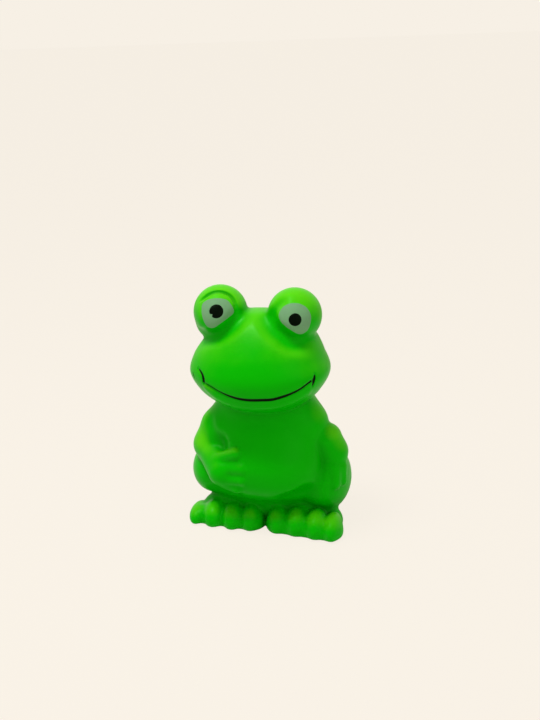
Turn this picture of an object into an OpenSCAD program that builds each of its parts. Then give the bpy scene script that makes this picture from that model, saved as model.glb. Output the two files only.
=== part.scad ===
// Squeaking bath frog, one hollow soft skin with a squeaker pressed into its base.
// Millimetres, Z up, standing on Z = 0. The face looks along -Y, so the frog's own left is +X.

/* [Head] */
// Width of the head across the cheeks
head_w = 49; // [42:0.5:56]
// Depth of the head from the snout to the nape
head_d = 36; // [32:0.5:40]
// Height of the head from the chin to the brow
head_h = 33; // [29:0.5:37]
// How far the middle of the head stands forward of the middle of the body
head_lean = 6.5; // [4:0.5:8]
// Diameter of each bulge that carries an eye
eye_bulge_d = 18.6; // [16:0.2:20]
// Distance between the middles of the eye bulges
eye_spread = 25.8; // [22:0.2:28]
// Diameter of the eyeball that looks out of each bulge
eyeball_d = 15; // [13:0.2:16]
// Width of the mouth between its corners
mouth_w = 37; // [34:0.5:39]

/* [Body] */
// Height of the body, from the ground to the chin
body_h = 46; // [42:0.5:50]
// Width of the body across the belly
body_w = 45; // [42:0.5:48]
// Depth of the body from the belly to the back
body_d = 38; // [35:0.5:41]
// Width over both folded thighs
seat_w = 59; // [56:0.5:62]
// Width of each folded thigh
thigh_w = 19; // [17:0.5:21]

/* [Arms] */
// Thickness of each arm at the shoulder
arm_d = 11.5; // [10:0.5:13]
// Thickness of the longest finger
finger_d = 4.2; // [3.6:0.1:4.8]

/* [Feet] */
// Width of each foot across its toes
foot_w = 28; // [25:0.5:29]
// Length of each foot
foot_length = 25; // [22:0.5:28]
// Height of each foot at the toes
foot_h = 10; // [9:0.5:12]
// Angle by which the pair of feet is turned under the body, in degrees
feet_turn = 8; // [0:1:10]
// Gap between the insides of the feet
feet_gap = 2.4; // [1.6:0.2:3]

/* [Skin] */
// Thickness of the soft skin
skin_t = 2; // [1.6:0.1:2.6]
// Thickness of the lip that the squeaker grips
lip_t = 1.8; // [1.4:0.1:2.2]
// Diameter of the part of the belly that is pressed
press_d = 18; // [14:0.5:20]
// Gap round the pressed part of the belly
press_gap = 0.3; // [0.3:0.05:0.5]

/* [Paint] */
// Thickness of one coat of the sprayed paint
paint_t = 0.2; // [0.15:0.05:0.3]
// Diameter of each black pupil
pupil_d = 5.2; // [4:0.1:6]
// Width of the black line of the mouth
mouth_line_w = 1; // [0.8:0.1:1.4]

/* [Squeaker] */
// Diameter of the squeaker's barrel
barrel_d = 12; // [11:0.2:14]
// Length of the barrel above the flange
barrel_h = 12; // [10:0.5:14]
// Thickness of the barrel's wall
barrel_t = 1; // [0.8:0.1:1.3]
// Diameter of the flange under the base
flange_d = 17; // [16:0.2:18]
// Thickness of the flange
flange_t = 2; // [1.8:0.1:2.4]
// Diameter of the air hole in the cap
air_hole_d = 3.6; // [3:0.1:4.4]
// Diameter of the cap
cap_d = 13.4; // [12.8:0.2:14]
// Thickness of the cap
cap_t = 1.1; // [0.9:0.1:1.3]
// Height of the squeaker's face above the ground
face_recess = 0.6; // [0.4:0.1:0.8]

/* [Reed] */
// Diameter of the round holder of the reed
holder_d = 6; // [5.4:0.2:6.6]
// Length of the holder
holder_length = 9; // [8:0.5:10]
// Width of the reed
reed_w = 3; // [2.6:0.1:3.2]
// Thickness of the reed
reed_t = 0.12; // [0.1:0.02:0.2]
// Length of the wedge that grips the reed
wedge_length = 3; // [2.5:0.1:3.4]

/* [Hidden] */

// Facets of the large forms, the small ones, the fingers, the inside and the painted line
big_sides = 28;
small_sides = 14;
finger_sides = 12;
inner_sides = 16;
line_sides = 8;
// Rings to each row of a loft, outside and inside
outer_rings = 2;
inner_rings = 1;
// Facets of what is drawn true
true_sides = 64;
// Rings along the painted line of the mouth
line_rings = 20;
// Overrun of every cut
cut = 1;
// Least size of a ring that is drawn in, as a share of the distance that it is drawn in
least_share = 0.1;

// The head is lofted through these rings, from the chin up. Each is a height, a half width,
// a depth to the front and a depth to the back, as shares of the head's height, width and depth
head_shares = [[-0.02, 0, 0, 0], [0.02, 0.22, 0.24, 0.3], [0.11, 0.335, 0.39, 0.42],
               [0.24, 0.435, 0.49, 0.48], [0.42, 0.5, 0.53, 0.5], [0.6, 0.465, 0.48, 0.5],
               [0.78, 0.395, 0.37, 0.45], [0.95, 0.31, 0.23, 0.33], [1.03, 0.17, 0.11, 0.17],
               [1.05, 0, 0, 0]];
// The body is lofted in the same way, from below the ground to inside the head,
// with shares of the body's height, width and depth
body_shares = [[-0.3, 0, 0, 0], [-0.2, 0.3, 0.18, 0.3], [0, 0.4, 0.245, 0.5],
               [0.13, 0.44, 0.24, 0.52], [0.23, 0.465, 0.28, 0.53], [0.31, 0.48, 0.42, 0.54],
               [0.4, 0.493, 0.505, 0.53], [0.51, 0.495, 0.525, 0.507], [0.6, 0.485, 0.51, 0.485], [0.72, 0.47, 0.44, 0.45], [0.88, 0.43, 0.36, 0.42],
               [1.04, 0.36, 0.33, 0.37], [1.2, 0.2, 0.2, 0.2], [1.24, 0, 0, 0]];
body_size = [body_w, body_d, body_h];
// The origin lies halfway between the tip of the snout and the back
snout_reach = head_lean + max([for (row = head_shares) row[2]]) * head_d;
back_reach = max([for (row = body_shares) row[3]]) * body_d;
body_at = [0, (snout_reach - back_reach) / 2, 0];
head_at = body_at + [0, -head_lean, body_h];
// The rings are ovals, slightly squared by this power
ring_power = 2.15;

// Middle of an eye bulge and of an eyeball, forward and up, as shares of the head's depth and height
bulge_shares = [0.01, 1.035];
eyeball_shares = [-0.075, 1.02];
// The eyeballs stand wider apart than the bulges
eyeball_spread_share = 1.03;
// Corners of each white of the eye, x and z, and their rounding, as shares of the eyeball
left_white_shares = [[-0.13, 0.2], [0.25, 0.17], [0.15, -0.17]];
right_white_shares = [[-0.18, 0.28], [0.25, 0.13], [-0.03, -0.05]];
white_corner_share = 0.17;
// Middle of each pupil, as shares of the eyeball
left_pupil_shares = [0.1, 0.08];
right_pupil_shares = [0.08, 0.21];

// Lowest point of the mouth and the rise to its corners, as shares of the head's height
mouth_low_share = 0.27;
mouth_rise_share = 0.19;
// The mouth lies a little to the frog's left, by this share of the head's width
mouth_side_share = 0.05;
// The mouth turns upwards through this angle at each end, in degrees
mouth_sweep = 82;
// Width of the mouth's line where it is thinnest, width of the groove that holds it,
// and depth of its middle in the groove, as shares of the line's width
mouth_thin_share = 0.75;
groove_share = 1.7;
line_sink_share = 0.3;

// Middle y and z of the right and the left thigh and their half sizes, as shares of the body's
// depth and height
thigh_place_shares = [[0.08, 0.39], [0.08, 0.34]];
thigh_half_shares = [[0.363, 0.21], [0.37, 0.252]];

// Middle of the instep and its half sizes, as shares of the foot's width, length and height
instep_shares = [-0.05, 0.12, 0.1, 0.5, 0.4, 0.9];
// How far the pair of feet stands forward, and to the frog's left, as shares of the body's depth
// and width
feet_forward_share = 0.12;
feet_side_share = 0.027;
// Half sizes of the largest toe, as shares of the foot's width, length and height
toe_half_shares = [0.155, 0.28, 0.55];
// Height of a toe's middle, as a share of the foot's height
toe_rise_share = 0.36;
// Place of each toe across the foot, its size and how far it is set back, from the inner one out,
// as shares of the foot
toe_place_shares = [-0.375, -0.125, 0.13, 0.37];
toe_size_shares = [0.95, 1, 1, 0.82];
toe_back_shares = [0.02, 0, 0, 0.04];

// Neck, shoulder, elbow and wrist of each arm, as shares of the body's width, depth and height
left_arm_shares = [[0.27, -0.06, 0.86], [0.48, -0.053, 0.71], [0.522, -0.044, 0.607],
                   [0.538, -0.088, 0.49]];
right_arm_shares = [[-0.27, -0.06, 0.84], [-0.39, -0.067, 0.783], [-0.458, -0.088, 0.626],
                    [-0.3, -0.377, 0.509]];
// Thickness at these four places, as shares of the arm's thickness
arm_taper_shares = [1.3, 1.06, 1.02, 0.92];
// Middle of each finger, as shares of the body, and how far the finger points down, in degrees
left_finger_shares = [[[0.49, -0.23, 0.46], 84], [[0.555, -0.21, 0.44], 88],
                      [[0.605, -0.15, 0.45], 94]];
right_finger_shares = [[[-0.24, -0.42, 0.66], -25], [[-0.19, -0.46, 0.57], 5],
                       [[-0.19, -0.46, 0.47], 15]];
// Length of a finger, and of a palm, in finger thicknesses
finger_length_share = 1.8;
palm_shares = [1.3, 0.9, 1.4];
left_palm_shares = [0.525, -0.16, 0.51];
right_palm_shares = [-0.28, -0.42, 0.52];

// The pressed part of the belly: its middle, as shares of the body's width and height
press_shares = [0.04, 0.5];

// Y of the squeaker's axis, as a share of the body's depth
squeaker_share = 0.06;
squeaker_y = body_at[1] + squeaker_share * body_d;
flange_top = face_recess + flange_t;
lip_top = flange_top + lip_t;
barrel_top = flange_top + barrel_h;
// The bead over the lip stands out by this share of the barrel's wall, and is as high as the wall
bead_share = 0.6;
// The reed's holder is pressed into a throat that hangs in the barrel's top
throat_share = 0.5;
throat_h = throat_share * holder_length;
holder_z = barrel_top - throat_h;
// The trough that the reed beats over, as shares of the reed's width and the holder's thickness
trough_shares = [0.6, 0.22];
// Free space on each side of the reed
reed_play = 0.1;
// The reed stops short of the holder's end by this share of its length
reed_end_share = 0.04;

function at_share(share, size, at) = [for (i = [0:2]) at[i] + share[i] * size[i]];
function half_share(share, size) = [for (i = [0:2]) share[i + 3] * size[i]];
function unit(v) = v / norm(v);

// One ring of a loft in millimetres: height, half width, depth to the front and to the back
function loft_row(row, w, d, h) = [row[0] * h, row[1] * w, row[2] * d, row[3] * d];
// The loft's rows with the row beyond each end mirrored, so that the loft closes roundly
function with_ends(t) = let (n = len(t), flip = [1, -1, -1, -1])
    concat([[for (k = [0:3]) flip[k] * t[1][k]]], t, [[for (k = [0:3]) flip[k] * t[n - 2][k]]]);
// A smooth curve through the rows, read at row s, which may lie between two rows
function smooth(t, s) =
    let (e = with_ends(t), i = min(floor(s), len(t) - 2), u = s - i,
         a = e[i], b = e[i + 1], c = e[i + 2], d = e[i + 3])
    (2 * b + (c - a) * u + (2 * a - 5 * b + 4 * c - d) * u * u
     + (3 * b - a - 3 * c + d) * u * u * u) / 2;
// The row at which the loft reaches height z, found by halving between rows lo and hi
function row_at(t, z, lo, hi, steps = 16) =
    steps == 0 ? (lo + hi) / 2 :
    let (mid = (lo + hi) / 2)
    smooth(t, mid)[0] < z ? row_at(t, z, mid, hi, steps - 1) : row_at(t, z, lo, mid, steps - 1);
function head_rows() = [for (row = head_shares) loft_row(row, head_w, head_d, head_h)];
function body_rows() = [for (row = body_shares) loft_row(row, body_w, body_d, body_h)];
// Y of the front of the head over the place x, z
function head_front(x, z) =
    let (t = head_rows(), q = smooth(t, row_at(t, z - head_at[2], 0, len(t) - 1)))
    head_at[1] - q[2] * pow(max(1 - pow(abs(x) / q[1], ring_power), 0), 1 / ring_power);

// A closed skin through the rows of a loft, with rings between them, smaller all round by inset
module loft(t, at, rings_between, sides, inset = 0) {
    last = (len(t) - 1) * rings_between;
    shrink = 1 - 2 * inset / (t[len(t) - 1][0] - t[0][0]);
    middle = (t[len(t) - 1][0] + t[0][0]) / 2;
    rings = [for (i = [1:last - 1])
        let (q = smooth(t, i / rings_between))
        [for (k = [0:sides - 1])
            let (a = 360 * k / sides, c = cos(a), s = sin(a),
                 depth = max((s < 0 ? q[2] : q[3]) - inset, inset * least_share),
                 r = pow(pow(abs(c), ring_power) + pow(abs(s), ring_power), -1 / ring_power))
            [at[0] + max(q[1] - inset, inset * least_share) * r * c, at[1] + depth * r * s,
             at[2] + middle + (q[0] - middle) * shrink]]];
    low = [at[0], at[1], at[2] + middle + (t[0][0] - middle) * shrink];
    high = [at[0], at[1], at[2] + middle + (t[len(t) - 1][0] - middle) * shrink];
    points = concat([low], [for (ring = rings) each ring], [high]);
    top = len(points) - 1;
    faces = [for (i = [0:last - 3], k = [0:sides - 1])
        let (a = 1 + i * sides + k, b = 1 + i * sides + (k + 1) % sides)
        each [[a, a + sides, b + sides], [a, b + sides, b]]];
    under = [for (k = [0:sides - 1]) [0, 1 + k, 1 + (k + 1) % sides]];
    over = [for (k = [0:sides - 1]) [top, top - 1 - k, top - 1 - (k + 1) % sides]];
    polyhedron(points, concat(under, faces, over));
}

// One rounded lump, smaller all round by inset
module lump(middle, half, sides, inset = 0) {
    translate(middle)
        scale([for (h = half) max(h - inset, cut)])
            sphere(r = 1, $fn = sides);
}

function bulge_at(side) = [side * eye_spread / 2, head_at[1] + bulge_shares[0] * head_d,
                           head_at[2] + bulge_shares[1] * head_h];
function eyeball_at(side) = [side * eye_spread / 2 * eyeball_spread_share,
                             head_at[1] + eyeball_shares[0] * head_d,
                             head_at[2] + eyeball_shares[1] * head_h];

module head_form(sides, rings_between, inset = 0) {
    loft(head_rows(), head_at, rings_between, sides, inset);
    for (side = [-1, 1])
        lump(bulge_at(side), [for (i = [0:2]) eye_bulge_d / 2], sides, inset);
}

module body_form(sides, rings_between, inset = 0) {
    loft(body_rows(), body_at, rings_between, sides, inset);
    for (i = [0, 1])
        let (place = thigh_place_shares[i], half = thigh_half_shares[i])
        lump([(2 * i - 1) * (seat_w - thigh_w) / 2, body_at[1] + place[0] * body_d,
              place[1] * body_h],
             [thigh_w / 2, half[0] * body_d, half[1] * body_h], sides, inset);
}

// One foot with its row of upright toes, the inner toe first
module foot() {
    size = [foot_w, foot_length, foot_h];
    lump(at_share(instep_shares, size, [0, 0, 0]), half_share(instep_shares, size), small_sides);
    for (i = [0:len(toe_place_shares) - 1])
        lump([toe_place_shares[i] * foot_w,
              -foot_length / 2 + (toe_half_shares[1] + toe_back_shares[i]) * foot_length,
              toe_rise_share * foot_h * toe_size_shares[i]],
             [for (k = [0:2]) toe_half_shares[k] * size[k] * toe_size_shares[i]], small_sides);
}

module feet() {
    translate([feet_side_share * body_w, body_at[1] - feet_forward_share * body_d, 0])
        rotate([0, 0, -feet_turn])
            for (side = [0, 1])
                mirror([side, 0, 0])
                    translate([(foot_w + feet_gap) / 2, 0, 0])
                        foot();
}

module arm(shares) {
    for (i = [1:len(shares) - 1])
        hull()
            for (k = [i - 1, i])
                translate(at_share(shares[k], body_size, body_at))
                    sphere(d = arm_d * arm_taper_shares[k], $fn = small_sides);
}

module hand(palm, fingers) {
    lump(at_share(palm, body_size, body_at), palm_shares * finger_d, finger_sides);
    for (f = fingers)
        translate(at_share(f[0], body_size, body_at))
            rotate([0, f[1], 0])
                scale([finger_d * finger_length_share, finger_d, finger_d] / 2)
                    sphere(r = 1, $fn = finger_sides);
}

// Everything that the mould shapes, before it is hollowed
module outer_form() {
    head_form(big_sides, outer_rings);
    for (side = [-1, 1])
        translate(eyeball_at(side))
            sphere(d = eyeball_d, $fn = big_sides);
    body_form(big_sides, outer_rings);
    feet();
    arm(left_arm_shares);
    arm(right_arm_shares);
    hand(left_palm_shares, left_finger_shares);
    hand(right_palm_shares, right_finger_shares);
}

module above(z) {
    span = 2 * (seat_w + body_h + head_h);
    translate([-span / 2, -span / 2, z])
        cube([span, span, span]);
}

// The hollow skin, flat underneath and as high as the topmost facets of the eye bulges
module shell() {
    figure_h = bulge_at(1)[2] + eye_bulge_d / 2 * cos(180 / big_sides);
    resize([0, 0, figure_h])
        difference() {
            intersection() {
                outer_form();
                above(0);
            }
            difference() {
                intersection() {
                    union() {
                        head_form(inner_sides, inner_rings, skin_t);
                        body_form(inner_sides, inner_rings, skin_t);
                    }
                    above(skin_t);
                }
                translate([0, squeaker_y, 0])
                    cylinder(h = lip_top, d = flange_d + 2 * skin_t, $fn = inner_sides);
            }
            // A pilot hole for the squeaker, which is bored to size later
            translate([0, squeaker_y, -cut])
                cylinder(h = lip_top + 2 * cut, d = barrel_d - 2 * barrel_t, $fn = inner_sides);
            mouth_tube(mouth_line_w * groove_share);
        }
}

// The straight-sided window in the front of the belly
module press_window(d) {
    translate(body_at + [press_shares[0] * body_w, 0, press_shares[1] * body_h])
        rotate([90, 0, 0])
            cylinder(h = body_d, d = d, $fn = true_sides);
}

// The path of the mouth is the lower half of an oval, laid on the front of the head
mouth_rise = mouth_rise_share * head_h;
function mouth_point(a) =
    let (x = mouth_side_share * head_w + mouth_w / 2 * sin(a),
         z = head_at[2] + mouth_low_share * head_h + mouth_rise * (1 - cos(a)))
    [x, head_front(x, z), z];
// The line is thickest in its middle and at its ends
function mouth_width(a) = mouth_thin_share + (1 - mouth_thin_share) * pow(cos(2 * a), 2);

// A tube along the mouth, with its middle sunk into the head
module mouth_tube(w, sink = 0) {
    angles = [for (i = [0:line_rings]) -mouth_sweep + 2 * mouth_sweep * i / line_rings];
    rings = [for (a = angles)
        let (p = mouth_point(a), t = unit(mouth_point(a + 1) - mouth_point(a - 1)),
             out = unit(cross(t, [0, 0, 1])), up = cross(out, t), r = w / 2 * mouth_width(a))
        [for (k = [0:line_sides - 1])
            let (b = 360 * k / line_sides)
            p + (r * cos(b) - sink * mouth_width(a)) * out + r * sin(b) * up]];
    points = [for (ring = rings) each ring];
    n = line_sides;
    sides = [for (i = [0:line_rings - 1], k = [0:n - 1])
        let (a = i * n + k, b = i * n + (k + 1) % n)
        each [[a, b, b + n], [a, b + n, a + n]]];
    first = [for (k = [1:n - 2]) [0, k + 1, k]];
    last = [for (k = [1:n - 2]) [line_rings * n, line_rings * n + k, line_rings * n + k + 1]];
    polyhedron(points, concat(sides, first, last));
}

module vinyl_skin() {
    color("limegreen")
        difference() {
            shell();
            press_window(press_d);
            translate([0, squeaker_y, -cut])
                cylinder(h = lip_top + 2 * cut, d = barrel_d, $fn = true_sides);
            translate([0, squeaker_y, -cut])
                cylinder(h = cut + flange_top, d = flange_d, $fn = true_sides);
        }
}

module belly_wall() {
    color("limegreen")
        intersection() {
            shell();
            press_window(press_d - 2 * press_gap);
        }
}

// A coat of paint on one eyeball, over the outline that is drawn as its child, as far as the bulge
module eye_coat(side, level) {
    difference() {
        translate(eyeball_at(side))
            intersection() {
                difference() {
                    sphere(d = eyeball_d + 2 * (level + 1) * paint_t, $fn = true_sides);
                    sphere(d = eyeball_d + 2 * level * paint_t, $fn = true_sides);
                }
                rotate([90, 0, 0])
                    linear_extrude(height = eyeball_d)
                        children();
            }
        translate(bulge_at(side))
            sphere(d = eye_bulge_d, $fn = true_sides);
    }
}

module eye_white(side, corners) {
    color("white")
        eye_coat(side, 0)
            hull()
                for (c = corners)
                    translate(c * eyeball_d)
                        circle(r = white_corner_share * eyeball_d, $fn = true_sides);
}

module pupil(side, middle) {
    color("black")
        eye_coat(side, 1)
            translate(middle * eyeball_d)
                circle(d = pupil_d, $fn = true_sides);
}

module left_eye_white() { eye_white(1, left_white_shares); }
module right_eye_white() { eye_white(-1, right_white_shares); }
module left_pupil() { pupil(1, left_pupil_shares); }
module right_pupil() { pupil(-1, right_pupil_shares); }

module mouth_line() {
    color("black")
        mouth_tube(mouth_line_w, mouth_line_w * line_sink_share);
}

// The barrel, turned: a flange with a seat for the cap, a bead over the skin's lip and a throat
module squeaker_barrel() {
    outer = barrel_d / 2;
    inner = outer - barrel_t;
    throat = holder_d / 2;
    bead = barrel_t * bead_share;
    color("ivory")
        translate([0, squeaker_y, 0])
            rotate_extrude($fn = true_sides)
                polygon([[cap_d / 2, face_recess], [flange_d / 2, face_recess],
                         [flange_d / 2, flange_top], [outer, flange_top], [outer, lip_top],
                         [outer + bead, lip_top + bead / 2], [outer, lip_top + 2 * bead],
                         [outer, barrel_top], [throat, barrel_top],
                         [throat, barrel_top - throat_h],
                         [throat + barrel_t, barrel_top - throat_h],
                         [throat + barrel_t, barrel_top - barrel_t],
                         [inner, barrel_top - barrel_t], [inner, face_recess + cap_t],
                         [cap_d / 2, face_recess + cap_t]]);
}

// The cap, turned: a disc with a raised ring round its air hole
module squeaker_cap() {
    hole = air_hole_d / 2;
    color("ivory")
        translate([0, squeaker_y, face_recess])
            rotate_extrude($fn = true_sides)
                polygon([[hole, 0], [cap_d / 2, 0], [cap_d / 2, cap_t],
                         [hole + 2 * barrel_t, cap_t], [hole + barrel_t, cap_t + barrel_t],
                         [hole, cap_t + barrel_t]]);
}

// Half of the round stock of the reed's holder, on one side of the reed
module half_round(side, l) {
    intersection() {
        cylinder(h = l, d = holder_d, $fn = true_sides);
        translate([-holder_d / 2, side > 0 ? reed_t / 2 + reed_play : -holder_d, -cut])
            cube([holder_d, holder_d - (side > 0 ? 0 : reed_t / 2 + reed_play), l + 2 * cut]);
    }
}

module at_holder() {
    translate([0, squeaker_y, holder_z])
        children();
}

// The holder, with a trough under the free part of the reed, open at its top
module reed_holder() {
    trough_w = trough_shares[0] * reed_w;
    trough_h = trough_shares[1] * holder_d;
    color("white")
        at_holder()
            difference() {
                half_round(-1, holder_length);
                translate([-trough_w / 2, -trough_h, wedge_length])
                    cube([trough_w, holder_d, holder_length]);
            }
}

module reed_wedge() {
    color("white")
        at_holder()
            half_round(1, wedge_length);
}

module reed() {
    color("silver")
        at_holder()
            translate([-reed_w / 2, -reed_t / 2, 0])
                cube([reed_w, reed_t, holder_length * (1 - reed_end_share)]);
}

vinyl_skin();
belly_wall();
left_eye_white();
right_eye_white();
left_pupil();
right_pupil();
mouth_line();
squeaker_barrel();
squeaker_cap();
reed_holder();
reed();
reed_wedge();
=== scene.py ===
# %% [markdown]
# A squeaky bath frog of soft vinyl, finished in Blender.
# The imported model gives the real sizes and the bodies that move. This lesson makes the smooth
# moulded skin, the sprayed paint and the squeaker's finish around it. The toy's lengths are written
# in millimetres, as its drawing has them, and become metres where a mesh is made. The camera's
# limits, the floor, the lamps, the depths in materials and the two ends of the skin's bend are in
# metres. Left and right are the frog's own sides.

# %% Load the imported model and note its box
import itertools

import bpy
import numpy as np
from mathutils import Matrix, Vector


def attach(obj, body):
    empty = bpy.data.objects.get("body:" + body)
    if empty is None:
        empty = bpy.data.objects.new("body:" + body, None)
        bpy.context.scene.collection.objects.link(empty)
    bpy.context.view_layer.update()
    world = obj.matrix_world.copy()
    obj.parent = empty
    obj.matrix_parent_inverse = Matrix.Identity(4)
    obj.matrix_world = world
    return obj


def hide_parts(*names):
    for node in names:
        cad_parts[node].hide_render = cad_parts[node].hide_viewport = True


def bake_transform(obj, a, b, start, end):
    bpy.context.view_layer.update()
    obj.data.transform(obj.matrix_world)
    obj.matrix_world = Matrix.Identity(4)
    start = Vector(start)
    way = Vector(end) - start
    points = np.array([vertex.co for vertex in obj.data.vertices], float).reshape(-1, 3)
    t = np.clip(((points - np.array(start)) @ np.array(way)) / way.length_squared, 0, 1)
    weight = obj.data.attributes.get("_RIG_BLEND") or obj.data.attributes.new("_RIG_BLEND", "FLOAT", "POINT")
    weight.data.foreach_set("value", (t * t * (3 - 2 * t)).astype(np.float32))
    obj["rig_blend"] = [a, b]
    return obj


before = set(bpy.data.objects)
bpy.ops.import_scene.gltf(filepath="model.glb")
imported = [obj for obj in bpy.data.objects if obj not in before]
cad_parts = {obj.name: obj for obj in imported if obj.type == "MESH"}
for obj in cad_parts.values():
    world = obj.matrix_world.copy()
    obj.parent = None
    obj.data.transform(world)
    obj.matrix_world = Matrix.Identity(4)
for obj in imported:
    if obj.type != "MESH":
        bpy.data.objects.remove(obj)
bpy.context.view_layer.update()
MM = 0.001


# %% [markdown]
# The camera stands where the photographer stood: a little to the frog's left, looking down on it,
# with the toy small in an upright picture. A camera is its place, its aim and its lens, so it is
# worked out from the angles round the toy and not placed by eye.

# %% Camera at the photograph's angle
TOY_MIDDLE = np.array([0.0, 2.53, 45.0])
CAMERA_TURN, CAMERA_RISE, CAMERA_ROLL = np.radians([14.1, 21.6, -2.9])
CAMERA_DISTANCE = 389.3
AIM_RIGHT, AIM_ABOVE = 1.25, 14.6
LONG_SIDE_PIXELS, SENSOR_WIDTH, FOCAL_PIXELS = 720, 36.0, 1089.7
CLIP_NEAR, CLIP_FAR = 0.01, 20.0


def camera_axes(turn, rise, roll):
    """Right, up and backwards axes of a camera. Backwards points from the toy to the camera by the
    turn and the rise, right is level and square to it, and up is square to both. The roll then
    turns right and up in their own plane."""
    back = np.array([np.sin(turn) * np.cos(rise), -np.cos(turn) * np.cos(rise), np.sin(rise)])
    right = np.cross(-back, [0, 0, 1])
    right /= np.linalg.norm(right)
    up = np.cross(right, -back)
    return (np.cos(roll) * right + np.sin(roll) * up, -np.sin(roll) * right + np.cos(roll) * up,
            back)


def make_camera():
    """A camera whose sensor covers the picture's long side, aimed a little above the toy's middle.
    Its lens is to the sensor's width as the focal length in pixels is to that side."""
    right, up, back = camera_axes(CAMERA_TURN, CAMERA_RISE, CAMERA_ROLL)
    place = TOY_MIDDLE + back * CAMERA_DISTANCE
    aim = TOY_MIDDLE + AIM_RIGHT * right + AIM_ABOVE * up
    back = (place - aim) / np.linalg.norm(place - aim)
    right = right - back * (right @ back)
    right /= np.linalg.norm(right)
    data = bpy.data.cameras.new("camera")
    data.sensor_width = SENSOR_WIDTH
    data.lens = FOCAL_PIXELS / LONG_SIDE_PIXELS * SENSOR_WIDTH
    data.clip_start, data.clip_end = CLIP_NEAR, CLIP_FAR
    camera = bpy.data.objects.new("camera", data)
    bpy.context.scene.collection.objects.link(camera)
    turned = np.eye(4)
    turned[:3, 0], turned[:3, 1], turned[:3, 2] = right, np.cross(back, right), back
    turned[:3, 3] = place * MM
    camera.matrix_world = Matrix(turned.tolist())
    bpy.context.scene.camera = camera
    print("camera at", np.round(place, 1), "mm, lens", round(data.lens, 2), "mm")


make_camera()


# %% [markdown]
# The skin of such a toy is one moulding: head, belly, limbs and toes run into each other through
# soft fillets. A grid of two parameters can't branch like that. So each form is first a rule that
# says how far a point lies outside it, and the rules are blended. Where the blended rule gives
# zero lies the skin. The head and the body are still profiles carried up an axis: rows give a
# height, a half width and the depths to the front and to the back, as shares of the form's height,
# width and depth, with a smooth curve through them. A row of a lean gives a height and how far the
# ring's middle moves sideways there.

# %% Rows of the head and the body
HEAD_SIZE, BODY_SIZE = (49.0, 36.0, 33.0), (45.0, 38.0, 46.0)
HEAD_AT, BODY_AT = np.array([0.0, -3.95, 46.0]), np.array([0.0, 2.53, 0.0])
HEAD_SHARES = np.array([
    [-0.02, 0, 0, 0], [0.02, 0.22, 0.24, 0.3], [0.11, 0.335, 0.39, 0.42],
    [0.24, 0.435, 0.49, 0.48], [0.42, 0.5, 0.53, 0.5], [0.6, 0.465, 0.48, 0.5],
    [0.78, 0.395, 0.37, 0.45], [0.95, 0.31, 0.23, 0.33], [1.03, 0.17, 0.11, 0.17],
    [1.05, 0, 0, 0]])
BODY_SHARES = np.array([
    [-0.3, 0, 0, 0], [-0.2, 0.3, 0.18, 0.3], [0, 0.4, 0.245, 0.5], [0.13, 0.44, 0.24, 0.52],
    [0.23, 0.465, 0.28, 0.53], [0.31, 0.48, 0.42, 0.54], [0.4, 0.493, 0.505, 0.53],
    [0.51, 0.495, 0.525, 0.507], [0.6, 0.485, 0.51, 0.485], [0.72, 0.47, 0.44, 0.45],
    [0.88, 0.43, 0.36, 0.42], [1.04, 0.36, 0.33, 0.37], [1.2, 0.2, 0.2, 0.2], [1.24, 0, 0, 0]])
HEAD_LEAN = np.array([[0, 0.7], [4, 0.7], [8, 0.2], [14, 0], [20, 0], [25, 0.8], [32, 0.4]])
BODY_LEAN = np.array([[0, 0], [BODY_SIZE[2], 0]])
RING_POWER = 2.15
STEPS_PER_ROW = 40
TINY = 1e-9


def curve_point(a, b, c, d, u):
    """The place at share u of the way from b to c on a smooth curve past a, b, c and d: a cubic
    mix of the four, whose slope at b is half the step from a to c, and at c half that from b to
    d."""
    return 0.5 * (2 * b + (c - a) * u + (2 * a - 5 * b + 4 * c - d) * u ** 2
                  + (3 * b - a - 3 * c + d) * u ** 3)


def fine_rows(shares, size):
    """Rows of a form in millimetres with a smooth curve through them. The row beyond each end is
    mirrored."""
    width, depth, height = size
    rows = shares * np.array([height, width, depth, depth])
    flip = np.array([1, -1, -1, -1])
    rows = np.vstack([flip * rows[1], rows, flip * rows[-2]])
    u = (np.arange(STEPS_PER_ROW) / STEPS_PER_ROW)[:, None]
    parts = [curve_point(*four, u) for four in zip(rows, rows[1:], rows[2:], rows[3:])]
    return np.vstack(parts + [rows[-2:-1]])


def ring_reach(points, rows, at, lean):
    """How far out a point lies on the ring at its own height, with 1 on the skin: the ring's power
    of its sideways and its forward share, added up, and the same root taken. The ring's middle
    moves sideways by a small lean."""
    x, y, z = (points - at).T
    x = x - np.interp(z, *lean.T)
    half, front, back = [np.interp(z, rows[:, 0], column, 0, 0) for column in rows[:, 1:].T]
    depth = np.where(y < 0, front, back)
    reach = (np.abs(x) / np.maximum(half, TINY)) ** RING_POWER
    reach += (np.abs(y) / np.maximum(depth, TINY)) ** RING_POWER
    return reach ** (1 / RING_POWER)


head_rows = fine_rows(HEAD_SHARES, HEAD_SIZE)
body_rows = fine_rows(BODY_SHARES, BODY_SIZE)
print("head", len(head_rows), "rows, body", len(body_rows), "rows")


# %% [markdown]
# Seen from its own middle, each of the two forms is a radius for every direction, which is a
# function of two parameters, the turn and the rise. It is found by halving: a length along each
# direction is cut in two, the half in which the ring rule passes 1 is kept, and so on. The distance
# of a point is then its own radius less the form's radius in its direction.

# %% Radius maps of the head and the body
TURNS, RISES = 360, 180
HALVINGS = 22
FARTHEST = 80.0


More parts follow.
